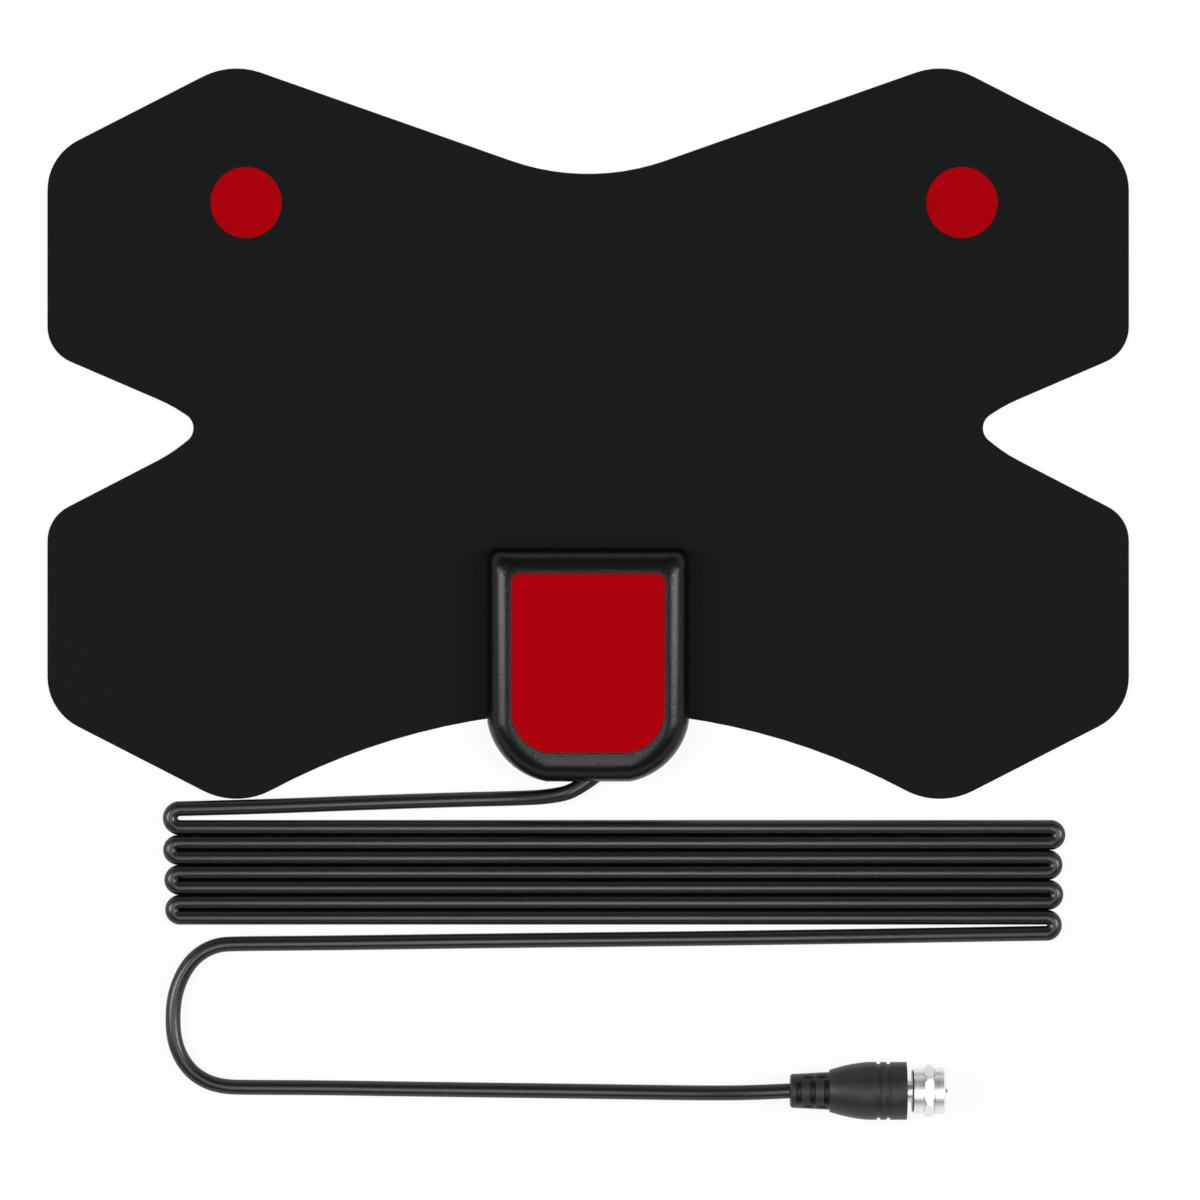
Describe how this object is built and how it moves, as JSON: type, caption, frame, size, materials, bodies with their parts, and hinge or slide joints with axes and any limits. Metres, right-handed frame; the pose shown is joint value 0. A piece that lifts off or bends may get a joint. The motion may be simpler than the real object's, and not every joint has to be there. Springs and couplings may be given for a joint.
{
  "type": "tv antenna",
  "caption": "Flat X-shaped indoor antenna panel with a small housing, a cable folded in a zigzag hank and a screw-on F plug.",
  "frame": {"origin": "middle of the panel, on the surface that it lies on", "axes": "+X across the panel, +Y up it, away from the housing, +Z out of its front face"},
  "size_m": [0.265, 0.2571, 0.0141],
  "materials": {
    "pet_sheet": "matte, finely grained",
    "foil": "bright rolled",
    "red_vinyl": "flat red",
    "acrylic_tape": "matte",
    "abs_black": "satin moulded",
    "steel": "zinc plated",
    "board_laminate": "satin lacquer",
    "ferrite": "matte",
    "brass": "turned",
    "pvc_black": "satin",
    "polyethylene": "natural white",
    "pvc_boot": "matte moulded",
    "nickel": "bright nickel plate",
    "copper": "bare wire"
  },
  "bodies": {
    "antenna": {"back_sheet": "pet_sheet", "front_sheet": "pet_sheet", "left_foil_element": "foil", "right_foil_element": "foil", "left_marker_dot": "red_vinyl", "right_marker_dot": "red_vinyl", "adhesive_pad": "acrylic_tape", "rear_cover": "abs_black", "front_cover": "abs_black", "label_plate": "red_vinyl", "cover_screws": "steel", "board_screws": "steel", "circuit_board": "board_laminate", "balun_transformer": "ferrite", "chip_parts": "ferrite", "contact_studs": "brass", "strain_relief": "pvc_black", "coax_core": "polyethylene", "cable_lead": "pvc_black", "cable_hank": "pvc_black", "cable_tail": "pvc_black", "plug_boot": "pvc_boot", "plug_body": "nickel", "plug_insulator": "polyethylene", "plug_pin": "copper"},
    "coupling_nut": {"coupling_nut": "nickel"}
  },
  "joints": [
    {"name": "nut_spin", "type": "hinge", "parent": "antenna", "child": "coupling_nut", "pos_m": [0.083, -0.1606, 0.00705], "axis": [1, 0, 0], "continuous": true}
  ]
}
